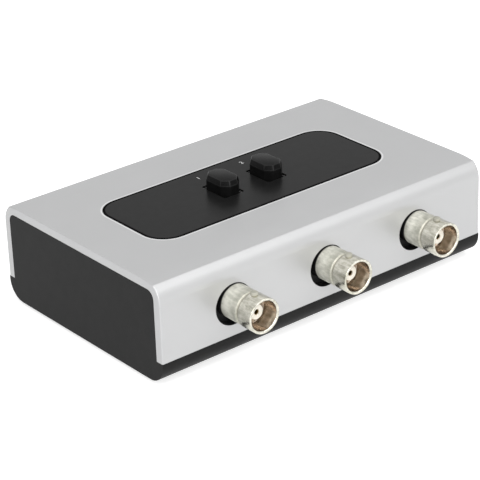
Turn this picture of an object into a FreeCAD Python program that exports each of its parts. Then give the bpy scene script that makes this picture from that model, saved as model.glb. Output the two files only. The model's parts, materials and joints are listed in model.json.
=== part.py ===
import FreeCAD, Part
import Sketcher
import os

# Coaxial antenna switch: a closed case with three jacks in front and two push-buttons on top.
# Frame: X along the case, jacks point to -Y, Z up. Zero is on the ground, under the middle of the
# whole object, jacks included.

doc = FreeCAD.newDocument("antenna_switch")
sizes = doc.addObject("Spreadsheet::Sheet", "Sizes")

VALUES = [
    # case
    ("case_length", 111.8, "whole length along X"),
    ("case_depth", 68.6, "whole depth along Y, without the jacks"),
    ("case_height", 28.3, "tray bottom to cover top"),
    ("cover_wall", 2.4, "wall of the top cover"),
    ("cover_bend", 6.2, "outer radius of the cover's long bends"),
    ("bend_drop", 2.51, "cover top to the line where bend and side face would meet"),
    ("crease_in", 2.4, "crease above each bend, from the side face"),
    ("crease_drop", 0.5, "crease below the cover's top"),
    ("crease_round", 0.6, "rounding of the crease"),
    ("slope_in", 6.4, "where the top starts to fall, from the side face"),
    ("slope_round", 30.0, "radius between the flat top and the slope"),
    ("cover_edge", 0.35, "rounding of the cover's end edges"),
    ("inner_bend", 2.4, "inner radius of the cover's long bends"),
    ("seam_height", 6.35, "tray bottom to the cover's lower edge"),
    ("case_gap", 0.1, "clearance between cover and tray"),
    ("tray_bend", 5.5, "outer radius of the tray's long lower edges"),
    ("tray_floor", 2.2, "thickness of the tray's floor"),
    ("panel_wall", 2.2, "thickness of the end panels"),
    ("lip_width", 1.6, "width of the locating lip inside the cover"),
    ("lip_height", 0.6, "height of the lip above the seam"),
    ("bite", 0.5, "overlap that joins two blocks of one piece"),
    ("beyond", 1.0, "how far a cut starts outside its piece"),
    # feet
    ("foot_height", 1.2, "height of a foot below the tray"),
    ("foot_radius", 5.0, "radius of a foot where it meets the tray"),
    ("foot_taper", 0.5, "how much smaller a foot is at the ground"),
    ("foot_recess", 0.4, "depth of the recess that a foot sits in"),
    ("foot_gap", 0.1, "clearance round a foot in its recess"),
    ("foot_inset_x", 17.9, "foot centre from the case's end"),
    ("foot_inset_y", 11.3, "foot centre from the case's long side"),
    # case screws
    ("case_inset_x", 6.9, "case screw from the case's end"),
    ("case_inset_y", 10.3, "case screw from the case's long side"),
    ("case_shank", 1.45, "radius of a case screw"),
    ("case_head", 2.75, "radius of its head"),
    ("case_head_height", 1.7, "height of its head"),
    ("case_shank_length", 12.0, "length under the head"),
    ("case_boss", 3.3, "radius of a boss in the cover"),
    ("case_pad", 4.5, "radius of a screw pad in the tray"),
    ("case_pad_height", 4.0, "tray bottom to the pad's top"),
    ("case_seat", 2.2, "depth of the recess for the head"),
    ("pilot_spare", 0.5, "pilot hole beyond the screw's end"),
    ("thread_gap", 0.03, "clearance round a screw in its pilot hole"),
    ("hole_gap", 0.25, "clearance round a screw in a plain hole"),
    ("cross_width", 0.7, "width of a screw's cross recess"),
    ("cross_depth", 0.8, "depth of a screw's cross recess"),
    ("cross_share", 1.2, "cross recess length over the head's radius"),
    # label
    ("label_length", 81.2, "label along X"),
    ("label_depth", 30.0, "label along Y"),
    ("label_x", -0.26, "label centre along X"),
    ("label_y", -0.52, "label centre along Y"),
    ("label_corner", 7.2, "label corner radius"),
    ("label_recess", 0.5, "depth of its recess in the cover"),
    ("label_proud", 0.05, "label above the cover"),
    ("label_gap", 0.1, "clearance round the label"),
    # buttons
    ("button_pitch", 15.24, "distance between the buttons"),
    ("button_x", 0.0, "middle of the pair along X"),
    ("cap_width", 6.6, "cap along X"),
    ("cap_depth", 9.9, "cap along Y"),
    ("cap_corner", 1.95, "cut corner of a cap"),
    ("cap_rise", 4.3, "cap top above the cover"),
    ("cap_skirt", 5.8, "cap below the cover's top when it is up"),
    ("bevel_in", 0.42, "how far the bevel round the cap's top leans in"),
    ("bevel_down", 1.5, "height of that bevel"),
    ("cap_gap", 0.3, "cap above the switch body when it is down"),
    ("window_gap", 0.15, "clearance between a cap and its cut-out"),
    ("window_corner", 0.5, "cut corner of the cut-out"),
    ("socket_depth", 4.2, "depth of the cap's socket for the stem"),
    ("press_gap", 0.02, "clearance of pressed parts"),
    ("travel", 2.6, "full stroke of a button"),
    # circuit board
    ("board_side_gap", 11.9, "board from the case's end"),
    ("board_front_gap", 0.2, "board behind the tray's lip"),
    ("board_rear_gap", 8.3, "board from the case's rear"),
    ("board_under", 5.5, "tray bottom to the board's underside"),
    ("board_thick", 1.6, "board thickness"),
    ("board_corner", 1.5, "board corner radius"),
    ("post_radius", 3.2, "radius of a post under the board"),
    ("post_inset", 5.0, "rear posts from the board's edges"),
    ("post_front_inset", 10.0, "front posts from the board's front edge"),
    ("board_shank", 1.25, "radius of a board screw"),
    ("board_head", 2.4, "radius of its head"),
    ("board_head_height", 1.6, "height of its head"),
    ("board_shank_length", 5.4, "length under the head"),
    # jacks
    ("jack_pitch", 31.88, "distance between jacks"),
    ("jack_x", -0.08, "middle jack along X"),
    ("jack_drop", 12.3, "cover top to the jack's centre line"),
    ("hole_left", 0.5, "hole centre to the left of the jack's centre line"),
    ("hole_below", 0.72, "hole centre below the jack's centre line"),
    ("hole_clearance", 1.1, "hole radius beyond the jack's root"),
    ("jack_reach", 11.65, "rim of a jack in front of the cover"),
    ("sleeve_radius", 4.85, "outer radius of the mating sleeve"),
    ("sleeve_wall", 0.77, "wall of the mating sleeve"),
    ("sleeve_depth", 5.4, "depth of its bore"),
    ("rim_bevel", 0.15, "bevel of the rim's outer edge"),
    ("mouth_bevel", 0.25, "bevel of the bore's mouth"),
    ("neck_depth", 0.45, "depth of the groove behind the sleeve"),
    ("neck_front", 6.4, "groove front, in front of the cover"),
    ("neck_back", 6.0, "groove back, in front of the cover"),
    ("neck_slope", 0.3, "length of the slopes beside the groove"),
    ("root_radius", 4.75, "radius of the root between the cover and the groove"),
    ("lug_radius", 1.0, "radius of a bayonet lug"),
    ("lug_rise", 0.7, "height of a lug above the sleeve"),
    ("lug_back", 3.85, "lug centre behind the rim"),
    ("tail_step", 0.25, "shell inside its housing, below the root's radius"),
    ("tail_depth", 7.6, "length of the shell inside its housing"),
    ("housing_gap", 0.2, "housing front behind the cover's inner face"),
    ("housing_width", 14.4, "housing along X"),
    ("housing_depth", 13.4, "housing along Y"),
    ("housing_top", 7.3, "housing top above the jack's centre line"),
    ("housing_bevel", 0.5, "bevel of the housing's front edges"),
    ("housing_back", 1.1, "housing wall behind the solder tail"),
    ("insulator_radius", 2.4, "insulator inside the shell"),
    ("insulator_bevel", 0.2, "bevel of the insulator's edges"),
    ("nose_radius", 2.05, "front part of the insulator"),
    ("nose_back", 3.1, "insulator front behind the rim"),
    ("nose_hole_gap", 0.1, "insulator's hole beyond the contact's bore"),
    ("contact_radius", 1.05, "outer radius of the centre contact"),
    ("contact_bore", 0.68, "bore of the centre contact"),
    ("contact_depth", 5.0, "depth of that bore"),
    ("contact_cone", 0.4, "length of that bore's pointed end"),
    ("contact_back", 0.4, "contact front behind the insulator's front"),
    ("contact_rear", 0.6, "contact behind the shell's rear"),
    ("rod_radius", 0.6, "radius of the contact's rod behind the shell"),
    ("solder_radius", 0.4, "radius of the contact's solder tail"),
    ("solder_back", 11.2, "solder tail behind the housing's front"),
    ("slot_width", 2.0, "width of the housing's slot for the solder tail"),
    ("slot_wall", 1.5, "housing wall between the shell and that slot"),
    ("pin_radius", 0.5, "radius of a ground pin"),
    ("pin_side", 5.08, "ground pin beside the centre line"),
    ("pin_back", 10.2, "ground pins behind the housing's front"),
    ("pin_grip", 4.0, "length of a ground pin in its housing"),
    ("pin_below", 1.4, "pin ends below the board"),
    ("pin_gap", 0.15, "clearance round a pin in the board"),
    ("peg_radius", 0.9, "radius of a locating peg"),
    ("peg_back", 3.0, "pegs behind the housing's front"),
    # switch bank
    ("switch_width", 12.0, "switch body along X"),
    ("switch_depth", 14.0, "switch body along Y"),
    ("switch_wall", 1.2, "side wall of the switch body"),
    ("switch_roof", 1.5, "roof of the switch body"),
    ("switch_floor", 1.5, "thickness of the terminal base"),
    ("run_gap", 0.08, "running clearance of sliding parts"),
    ("stem_width", 3.4, "stem along X"),
    ("stem_depth", 4.4, "stem along Y"),
    ("stem_spare", 0.1, "stem end below the socket's end"),
    ("slider_width", 5.0, "slider along X"),
    ("slider_depth", 9.0, "slider along Y"),
    ("slider_height", 4.4, "slider along Z"),
    ("spigot_radius", 1.2, "spring spigots"),
    ("spigot_height", 0.9, "height of a spring spigot"),
    ("spring_radius", 1.9, "return spring, to the wire's centre"),
    ("spring_wire", 0.22, "wire radius of the return spring"),
    ("spring_turns", 4.5, "turns of the return spring"),
    ("spring_gap", 0.05, "gap at each end of a spring"),
    ("nib_width", 1.6, "latch nib along X"),
    ("nib_height", 1.2, "latch nib along Z"),
    ("nib_drop", 0.8, "nib top below the slider's top"),
    ("nib_past", 0.3, "nib end past the latch bar"),
    ("nib_gap", 0.2, "clearance round a nib"),
    ("bar_thick", 0.8, "latch bar thickness"),
    ("bar_half", 14.0, "latch bar's right end from the middle of the buttons"),
    ("bar_stroke", 1.0, "stroke of the latch bar"),
    ("tongue_height", 0.8, "height of the tongue in the latch spring"),
    ("tongue_length", 1.2, "length of the tongue in the latch spring"),
    ("tooth_height", 1.0, "height of a latch tooth"),
    ("channel_height", 8.2, "height of the bracket's channel"),
    ("sheet", 0.8, "sheet thickness of the bracket"),
    ("channel_half", 18.0, "half length of the bracket"),
    ("leg_width", 1.4, "width of a bracket leg"),
    ("leg_below", 0.8, "bracket leg below the board"),
    ("leg_gap", 0.1, "clearance round a bracket leg"),
    ("latch_wire", 0.13, "wire radius of the latch spring"),
    ("latch_coil", 0.72, "latch spring, to the wire's centre"),
    ("latch_turns", 4.5, "turns of the latch spring"),
    ("blade_side", 4.3, "terminal blade beside the button's centre"),
    ("blade_thick", 0.5, "terminal blade thickness"),
    ("blade_width", 1.2, "terminal blade width"),
    ("blade_leg", 0.8, "terminal leg width"),
    ("blade_pitch", 3.5, "distance between blades"),
    ("blade_gap", 2.4, "outer blades below the switch's roof"),
    ("blade_drop", 3.0, "middle blade below the outer ones"),
    ("clip_thick", 0.2, "strip thickness of a moving contact"),
    ("clip_height", 2.8, "moving contact height"),
    ("clip_drop", 0.8, "moving contact below the slider's top"),
    ("clip_depth", 7.6, "moving contact along Y"),
]

for number, (alias, value, note) in enumerate(VALUES, start=1):
    sizes.set("A%d" % number, alias)
    sizes.set("B%d" % number, str(value))
    sizes.set("C%d" % number, note)
    sizes.setAlias("B%d" % number, alias)
doc.recompute()


ALIASES = set(row[0] for row in VALUES)
NODES = []
CORNERS = [(-1, -1), (1, -1), (1, 1), (-1, 1)]
BUTTONS = [1, 2]
JACKS = [1, 2, 3]

# Places and sizes that several pieces share, worked out from the sheet.
INNER_HALF = "case_depth/2 - cover_wall - case_gap"
CEILING = "case_height - cover_wall - case_gap"
BOARD_TOP = "foot_height + board_under + board_thick"
BOARD_HALF = "(case_length/2 - board_side_gap)"
BOARD_FRONT = "(case_depth/2 - cover_wall - case_gap - lip_width - board_front_gap)"
BOARD_REAR = "(case_depth/2 - board_rear_gap)"
CAP_LENGTH = "(cap_rise + cap_skirt)"
SWITCH_HEIGHT = "(case_height - cap_skirt - travel - cap_gap - board_under - board_thick)"
SLIDER_TOP = "(" + SWITCH_HEIGHT + " - switch_roof - run_gap)"
SLIDER_LOW = "(" + SLIDER_TOP + " - slider_height)"
NIB_TOP = "(" + SLIDER_TOP + " - nib_drop)"
NIB_LOW = "(" + NIB_TOP + " - nib_height)"
CHANNEL_LOW = "(" + SWITCH_HEIGHT + " - channel_height)"
BLADE_HEIGHT = "(" + SWITCH_HEIGHT + " - switch_roof - blade_gap)"
BAR_FRONT = "(switch_depth/2 + run_gap)"
NIB_END = "(" + BAR_FRONT + " + bar_thick + nib_past)"
WEB_FRONT = "(" + NIB_END + " + nib_gap)"
JACK_HEIGHT = "(case_height - jack_drop)"
JACK_AXIS = "foot_height + " + JACK_HEIGHT
HOUSING_FRONT = "(-case_depth/2 + cover_wall + housing_gap)"
HOUSING_DEEP = "(cover_wall + housing_gap)"
SHELL_REAR = "(" + HOUSING_DEEP + " + tail_depth)"
TAIL_RADIUS = "(root_radius - tail_step)"
SLEEVE_FLOOR = "(-jack_reach + sleeve_depth)"
NOSE_FRONT = "(-jack_reach + nose_back)"


def full(expression):
    """Write the sheet's name in front of each alias of an expression."""
    words = []
    word = ""
    for letter in expression + " ":
        if letter.isalnum() or letter in "_.":
            word += letter
            continue
        if word in ALIASES:
            word = "Sizes." + word
        words.append(word + letter)
        word = ""
    return "".join(words).strip()


def bind(thing, **links):
    """Tie properties to the sheet; a double underscore in a name stands for a dot."""
    for name, expression in links.items():
        thing.setExpression(name.replace("__", "."), full(expression))


def place(thing, x="0", y="0", z="0"):
    """Tie the position of an object to the sheet."""
    bind(thing, Placement__Base__x=x, Placement__Base__y=y, Placement__Base__z=z)


def add_node(thing, name, x="0", y="0", z="foot_height"):
    """Name a finished piece and place it; the frame's origin lies under the middle of the whole object."""
    thing.Label = name
    place(thing, x, "%s + jack_reach/2" % y, z)
    NODES.append(thing)
    return thing


def new_body(name, x="0", y="0", z="foot_height"):
    return add_node(doc.addObject("PartDesign::Body", name), name, x, y, z)


def group(name, parts, z="foot_height"):
    """Several equal pieces kept together in one node."""
    item = doc.addObject("Part::Compound", name)
    item.Links = parts
    return add_node(item, name, z=z)


def new_sketch(body, name, plane, x="0", y="0", z="0"):
    """An empty sketch on one of the body's own planes; x, y, z shift it in the sketch's axes."""
    sketch = body.newObject("Sketcher::SketchObject", name)
    support = [f for f in body.Origin.OriginFeatures if f.Role == plane][0]
    sketch.AttachmentSupport = (support, [""])
    sketch.MapMode = "FlatFace"
    bind(sketch, AttachmentOffset__Base__x=x, AttachmentOffset__Base__y=y, AttachmentOffset__Base__z=z)
    return sketch


def hold(sketch, kind, geometry, point, name, expression):
    """One signed distance from the sketch's origin, tied to the sheet."""
    index = sketch.addConstraint(Sketcher.Constraint(kind, -1, 1, geometry, point, 1.0))
    sketch.renameConstraint(index, name)
    sketch.setExpression("Constraints." + name, full(expression))


def polygon(sketch, points):
    """A closed outline whose corners are given as expressions."""
    first = sketch.GeometryCount
    count = len(points)
    corner = []
    for i in range(count):
        turn = FreeCAD.Rotation(FreeCAD.Vector(0, 0, 1), 360.0 * i / count)
        corner.append(turn.multVec(FreeCAD.Vector(5, 0, 0)))
    for i in range(count):
        sketch.addGeometry(Part.LineSegment(corner[i], corner[(i + 1) % count]), False)
    for i in range(count):
        sketch.addConstraint(Sketcher.Constraint("Coincident", first + i, 2, first + (i + 1) % count, 1))
    for i, (across, along) in enumerate(points):
        hold(sketch, "DistanceX", first + i, 1, "x%d" % (first + i), across)
        hold(sketch, "DistanceY", first + i, 1, "y%d" % (first + i), along)


def rectangle(sketch, x0, x1, y0, y1):
    polygon(sketch, [(x0, y0), (x1, y0), (x1, y1), (x0, y1)])


def centred(sketch, x, y, width, depth):
    rectangle(sketch, "%s - (%s)/2" % (x, width), "%s + (%s)/2" % (x, width),
              "%s - (%s)/2" % (y, depth), "%s + (%s)/2" % (y, depth))


def cut_rectangle(sketch, x, y, width, depth, corner):
    """A rectangle about x, y with cut corners."""
    left = "%s - (%s)/2" % (x, width)
    right = "%s + (%s)/2" % (x, width)
    low = "%s - (%s)/2" % (y, depth)
    high = "%s + (%s)/2" % (y, depth)
    polygon(sketch, [
        ("%s + %s" % (left, corner), low), ("%s - %s" % (right, corner), low),
        (right, "%s + %s" % (low, corner)), (right, "%s - %s" % (high, corner)),
        ("%s - %s" % (right, corner), high), ("%s + %s" % (left, corner), high),
        (left, "%s - %s" % (high, corner)), (left, "%s + %s" % (low, corner))])


def circle(sketch, x, y, radius):
    number = sketch.GeometryCount
    sketch.addGeometry(Part.Circle(FreeCAD.Vector(1, 1, 0), FreeCAD.Vector(0, 0, 1), 1.0), False)
    hold(sketch, "DistanceX", number, 3, "x%d" % number, x)
    hold(sketch, "DistanceY", number, 3, "y%d" % number, y)
    index = sketch.addConstraint(Sketcher.Constraint("Radius", number, 1.0))
    sketch.renameConstraint(index, "r%d" % number)
    sketch.setExpression("Constraints.r%d" % number, full(radius))


def feature(body, kind, name, sketch, length, midplane, backwards):
    item = body.newObject("PartDesign::" + kind, name)
    item.Profile = sketch
    item.Midplane = midplane
    item.Reversed = backwards
    bind(item, Length=length)
    doc.recompute()
    return item


def pad(body, name, sketch, length, midplane=False, backwards=False):
    return feature(body, "Pad", name, sketch, length, midplane, backwards)


def pocket(body, name, sketch, length, midplane=False, backwards=False):
    return feature(body, "Pocket", name, sketch, length, midplane, backwards)


def turned(body, name, sketch):
    """A full turn of a profile about the sketch's upright axis."""
    item = body.newObject("PartDesign::Revolution", name)
    item.Profile = sketch
    item.ReferenceAxis = (sketch, ["V_Axis"])
    item.Angle = 360.0
    doc.recompute()
    return item


def soften(body, kind, name, base, rule, size):
    """A fillet or chamfer on the edges of base whose bounding box meets a rule."""
    names = []
    for number, edge in enumerate(base.Shape.Edges, start=1):
        if rule(edge.BoundBox):
            names.append("Edge%d" % number)
    item = body.newObject("PartDesign::" + kind, name)
    item.Base = (base, names)
    if kind == "Fillet":
        bind(item, Radius=size)
    else:
        bind(item, Size=size)
    doc.recompute()
    return item


def near(a, b):
    return abs(a - b) < 0.01


def val(alias):
    return float(sizes.get(alias))


def is_upright(b):
    return b.XLength < 0.01 and b.YLength < 0.01


def runs_at(b, height):
    """True for a long edge along X at one height."""
    return b.XLength > val("case_length") / 2 and near(b.ZMin, height) and near(b.ZMax, height)


def cylinder(name, radius, height, x="0", y="0", z="0"):
    item = doc.addObject("Part::Cylinder", name)
    bind(item, Radius=radius, Height=height)
    place(item, x, y, z)
    return item


def box(name, length, width, height, x="0", y="0", z="0"):
    item = doc.addObject("Part::Box", name)
    bind(item, Length=length, Width=width, Height=height)
    place(item, x, y, z)
    return item


def joined(name, parts):
    item = doc.addObject("Part::MultiFuse", name)
    item.Shapes = parts
    return item


def difference(name, base, tool):
    item = doc.addObject("Part::Cut", name)
    item.Base = base
    item.Tool = tool
    return item


def button_at(k):
    return "button_x + button_pitch/2*%d" % (-1 if k == 1 else 1)


def jack_at(k):
    return "jack_x + jack_pitch*%d" % (k - 2)


def case_screw_at(sx, sy):
    return "(case_length/2 - case_inset_x)*%d" % sx, "(case_depth/2 - case_inset_y)*%d" % sy


def foot_at(sx, sy):
    return "(case_length/2 - foot_inset_x)*%d" % sx, "(case_depth/2 - foot_inset_y)*%d" % sy


def post_at(sx, sy):
    """Front posts stand between the jacks, rear posts at the board's rear corners."""
    if sy < 0:
        return "jack_x + jack_pitch/2*%d" % sx, "-" + BOARD_FRONT + " + post_front_inset"
    return "(" + BOARD_HALF + " - post_inset)*%d" % sx, BOARD_REAR + " - post_inset"


def blades(k):
    """Number, side and row of each terminal blade of one switch."""
    return [("%d_%s_%d" % (k, "left" if sx < 0 else "right", row + 2), sx, row)
            for sx in (-1, 1) for row in (-1, 0, 1)]


# ---------------------------------------------------------------- case
def make_cover():
    """A channel over the case with screw bosses inside, three jack holes and two button windows."""
    body = new_body("top_cover")
    top = val("case_height")
    inner = top - val("cover_wall")
    ends = val("case_length") / 2
    outline = new_sketch(body, "cover_outline", "YZ_Plane")
    right = [("case_depth/2", "seam_height"), ("case_depth/2", "case_height - bend_drop"),
             ("case_depth/2 - crease_in", "case_height - crease_drop"),
             ("case_depth/2 - slope_in", "case_height")]
    polygon(outline, right + [("-(%s)" % across, height) for across, height in reversed(right)])
    block = pad(body, "cover_block", outline, "case_length", midplane=True)
    shoulder = top - val("bend_drop")
    crease = top - val("crease_drop")
    bends = soften(body, "Fillet", "cover_bends", block, lambda b: runs_at(b, shoulder), "cover_bend")
    slopes = soften(body, "Fillet", "cover_slopes", bends, lambda b: runs_at(b, top), "slope_round")
    creases = soften(body, "Fillet", "cover_creases", slopes, lambda b: runs_at(b, crease), "crease_round")
    soften(body, "Fillet", "cover_end_edges", creases,
           lambda b: b.XLength < 0.01 and near(abs(b.XMin), ends) and b.ZMax > val("seam_height") + 1,
           "cover_edge")
    inside = new_sketch(body, "cover_inside", "YZ_Plane")
    rectangle(inside, "-case_depth/2 + cover_wall", "case_depth/2 - cover_wall",
              "seam_height - beyond", "case_height - cover_wall")
    hollow = pocket(body, "cover_hollow", inside, "case_length + beyond*2", midplane=True)
    wall_line = val("case_depth") / 2 - val("cover_wall")
    soften(body, "Fillet", "cover_inner_bends", hollow,
           lambda b: runs_at(b, inner) and near(abs(b.YMin), wall_line), "inner_bend")
    bosses = new_sketch(body, "boss_circles", "XY_Plane", z="case_pad_height + case_gap/2")
    pilots = new_sketch(body, "pilot_circles", "XY_Plane", z="case_pad_height")
    for sx, sy in CORNERS:
        x, y = case_screw_at(sx, sy)
        circle(bosses, x, y, "case_boss")
        circle(pilots, x, y, "case_shank + thread_gap")
    pad(body, "cover_bosses", bosses,
        "case_height - cover_wall - case_pad_height - case_gap/2 + bite")
    pocket(body, "cover_pilots", pilots,
           "case_seat + case_shank_length + pilot_spare - case_pad_height", backwards=True)
    holes = new_sketch(body, "jack_circles", "XZ_Plane", z="case_depth/2 + beyond")
    for k in JACKS:
        circle(holes, jack_at(k) + " - hole_left", JACK_HEIGHT + " - hole_below",
               "root_radius + hole_clearance")
    pocket(body, "jack_holes", holes, "cover_wall + beyond*1.5")
    windows = new_sketch(body, "window_outlines", "XY_Plane", z="case_height + beyond")
    for k in BUTTONS:
        cut_rectangle(windows, button_at(k), "0", "cap_width + window_gap*2", "cap_depth + window_gap*2",
                      "window_corner")
    pocket(body, "button_windows", windows, "cover_wall + beyond*2")
    recess = new_sketch(body, "recess_outline", "XY_Plane", z="case_height + beyond")
    centred(recess, "label_x", "label_y", "label_length + label_gap*2", "label_depth + label_gap*2")
    cut = pocket(body, "label_recess_cut", recess, "label_recess + beyond")
    side = val("label_length") / 2 + val("label_gap")
    body.Tip = soften(body, "Fillet", "recess_corners", cut,
                      lambda b: is_upright(b) and near(b.ZLength, val("label_recess"))
                      and near(abs(b.XMin - val("label_x")), side),
                      "label_corner + label_gap")


def make_tray():
    """The floor with both end panels, board posts, screw pads and foot recesses."""
    body = new_body("base_tray")
    outline = new_sketch(body, "tray_outline", "YZ_Plane")
    rectangle(outline, "-case_depth/2", "case_depth/2", "0", "seam_height")
    block = pad(body, "tray_block", outline, "case_length", midplane=True)
    soften(body, "Fillet", "tray_bends", block, lambda b: runs_at(b, 0), "tray_bend")
    inside = new_sketch(body, "tray_inside", "YZ_Plane")
    rectangle(inside, "-(%s) + lip_width" % INNER_HALF, INNER_HALF + " - lip_width",
              "tray_floor", "seam_height + beyond")
    pocket(body, "tray_hollow", inside, "case_length - panel_wall*2", midplane=True)
    lips = new_sketch(body, "lip_outline", "XY_Plane", z="seam_height - bite")
    for side in (-1, 1):
        rectangle(lips, "-case_length/2 + panel_wall/2", "case_length/2 - panel_wall/2",
                  "(%s - lip_width)*%d" % (INNER_HALF, side), "(%s)*%d" % (INNER_HALF, side))
    pad(body, "tray_lips", lips, "lip_height + bite")
    inner = val("case_depth") / 2 - val("cover_wall") - val("case_gap")
    ceiling = val("case_height") - val("cover_wall") - val("case_gap")
    for name, shift, end in (("left", "-case_length/2", -1), ("right", "case_length/2 - panel_wall", 1)):
        panel = new_sketch(body, name + "_panel_outline", "YZ_Plane", z=shift)
        rectangle(panel, "-(%s)" % INNER_HALF, INNER_HALF, "seam_height - bite", CEILING)
        wall = pad(body, name + "_panel", panel, "panel_wall")
        soften(body, "Fillet", name + "_panel_corners", wall,
               lambda b: near(b.XLength, val("panel_wall")) and near(b.ZMin, ceiling)
               and near(b.ZMax, ceiling) and near(abs(b.YMin), inner) and b.XMin * end > 0,
               "inner_bend - case_gap")
    posts = new_sketch(body, "post_circles", "XY_Plane", z="tray_floor - bite")
    post_pilots = new_sketch(body, "post_pilot_circles", "XY_Plane", z="board_under")
    pads = new_sketch(body, "pad_circles", "XY_Plane", z="tray_floor - bite")
    seats = new_sketch(body, "seat_circles", "XY_Plane")
    holes = new_sketch(body, "case_screw_circles", "XY_Plane")
    recesses = new_sketch(body, "foot_circles", "XY_Plane")
    for sx, sy in CORNERS:
        x, y = post_at(sx, sy)
        circle(posts, x, y, "post_radius")
        circle(post_pilots, x, y, "board_shank + thread_gap")
        x, y = case_screw_at(sx, sy)
        circle(pads, x, y, "case_pad")
        circle(seats, x, y, "case_head + hole_gap")
        circle(holes, x, y, "case_shank + hole_gap")
        x, y = foot_at(sx, sy)
        circle(recesses, x, y, "foot_radius + foot_gap")
    pad(body, "board_posts", posts, "board_under - tray_floor + bite")
    pocket(body, "post_pilots", post_pilots, "board_shank_length - board_thick + pilot_spare")
    pad(body, "screw_pads", pads, "case_pad_height - tray_floor + bite")
    pocket(body, "screw_seats", seats, "case_seat", backwards=True)
    pocket(body, "screw_holes", holes, "case_pad_height + beyond", backwards=True)
    body.Tip = pocket(body, "foot_pockets", recesses, "foot_recess", backwards=True)


def make_label():
    """The dark plate round the buttons, let into the cover."""
    body = new_body("label_plate", z="foot_height + case_height - label_recess")
    outline = new_sketch(body, "label_outline", "XY_Plane")
    centred(outline, "label_x", "label_y", "label_length", "label_depth")
    sheet = pad(body, "label_sheet", outline, "label_recess + label_proud")
    soften(body, "Fillet", "label_corners", sheet, is_upright, "label_corner")
    windows = new_sketch(body, "label_windows", "XY_Plane")
    for k in BUTTONS:
        cut_rectangle(windows, button_at(k), "0", "cap_width + window_gap*2", "cap_depth + window_gap*2",
                      "window_corner")
    body.Tip = pocket(body, "label_cuts", windows, "label_recess*2 + beyond*2", midplane=True)


def make_feet():
    feet = []
    for number, (sx, sy) in enumerate(CORNERS, start=1):
        foot = doc.addObject("Part::Cone", "foot_%d" % number)
        bind(foot, Radius1="foot_radius - foot_taper", Radius2="foot_radius",
             Height="foot_height + foot_recess")
        x, y = foot_at(sx, sy)
        place(foot, x, y)
        feet.append(foot)
    group("rubber_feet", feet, z="0")


# ---------------------------------------------------------------- buttons and their switches
def make_cap(k):
    """An oblong key cap with cut corners, a bevelled top and a socket for the stem."""
    body = new_body("button_cap_%d" % k, x=button_at(k), z="foot_height + case_height - cap_skirt")
    outline = new_sketch(body, "cap_outline_%d" % k, "XY_Plane")
    cut_rectangle(outline, "0", "0", "cap_width", "cap_depth", "cap_corner")
    pad(body, "cap_block_%d" % k, outline, CAP_LENGTH + " - bevel_down")
    upper = new_sketch(body, "cap_top_outline_%d" % k, "XY_Plane", z=CAP_LENGTH + " - bevel_down")
    cut_rectangle(upper, "0", "0", "cap_width", "cap_depth", "cap_corner")
    crown = pad(body, "cap_top_%d" % k, upper, "bevel_down")
    bind(crown, TaperAngle="-atan(bevel_in/bevel_down)")
    socket = new_sketch(body, "socket_outline_%d" % k, "XY_Plane")
    centred(socket, "0", "0", "stem_width + press_gap*2", "stem_depth + press_gap*2")
    body.Tip = pocket(body, "cap_socket_%d" % k, socket, "socket_depth", backwards=True)


def make_plunger(k):
    """The slider inside the switch with its stem, its latch nib and its spring spigot."""
    body = new_body("plunger_%d" % k, x=button_at(k), z=BOARD_TOP)
    slider = new_sketch(body, "slider_outline_%d" % k, "XY_Plane", z=SLIDER_LOW)
    centred(slider, "0", "0", "slider_width", "slider_depth")
    pad(body, "slider_block_%d" % k, slider, "slider_height")
    stem = new_sketch(body, "stem_outline_%d" % k, "XY_Plane", z=SLIDER_TOP + " - bite")
    centred(stem, "0", "0", "stem_width", "stem_depth")
    pad(body, "stem_%d" % k, stem,
        "travel + cap_gap + switch_roof + run_gap + socket_depth - stem_spare + bite")
    nib = new_sketch(body, "nib_outline_%d" % k, "XY_Plane", z=NIB_LOW)
    rectangle(nib, "-nib_width/2", "nib_width/2", "slider_depth/2 - bite", NIB_END)
    pad(body, "nib_%d" % k, nib, "nib_height")
    spigot = new_sketch(body, "spigot_circle_%d" % k, "XY_Plane", z=SLIDER_LOW + " + bite")
    circle(spigot, "0", "0", "spigot_radius")
    body.Tip = pad(body, "spigot_%d" % k, spigot, "spigot_height + bite", backwards=True)


def make_switch_body(k):
    """The switch's housing, open below, with a hole for the stem and a slot for the nib."""
    body = new_body("switch_body_%d" % k, x=button_at(k), z=BOARD_TOP)
    outline = new_sketch(body, "switch_outline_%d" % k, "XY_Plane")
    centred(outline, "0", "0", "switch_width", "switch_depth")
    pad(body, "switch_block_%d" % k, outline, SWITCH_HEIGHT)
    inside = new_sketch(body, "switch_inside_%d" % k, "XY_Plane")
    centred(inside, "0", "0", "switch_width - switch_wall*2", "switch_depth - switch_wall*2")
    pocket(body, "switch_hollow_%d" % k, inside, SWITCH_HEIGHT + " - switch_roof", backwards=True)
    opening = new_sketch(body, "stem_hole_%d" % k, "XY_Plane", z=SWITCH_HEIGHT + " + beyond")
    centred(opening, "0", "0", "stem_width + run_gap*2", "stem_depth + run_gap*2")
    pocket(body, "stem_opening_%d" % k, opening, "switch_roof + beyond*2")
    slot = new_sketch(body, "nib_slot_outline_%d" % k, "XZ_Plane", z="-switch_depth/2 - beyond")
    rectangle(slot, "-nib_width/2 - nib_gap", "nib_width/2 + nib_gap",
              NIB_LOW + " - travel - nib_gap", NIB_TOP + " + nib_gap")
    body.Tip = pocket(body, "nib_slot_%d" % k, slot, "switch_wall + beyond*2", backwards=True)


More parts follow.
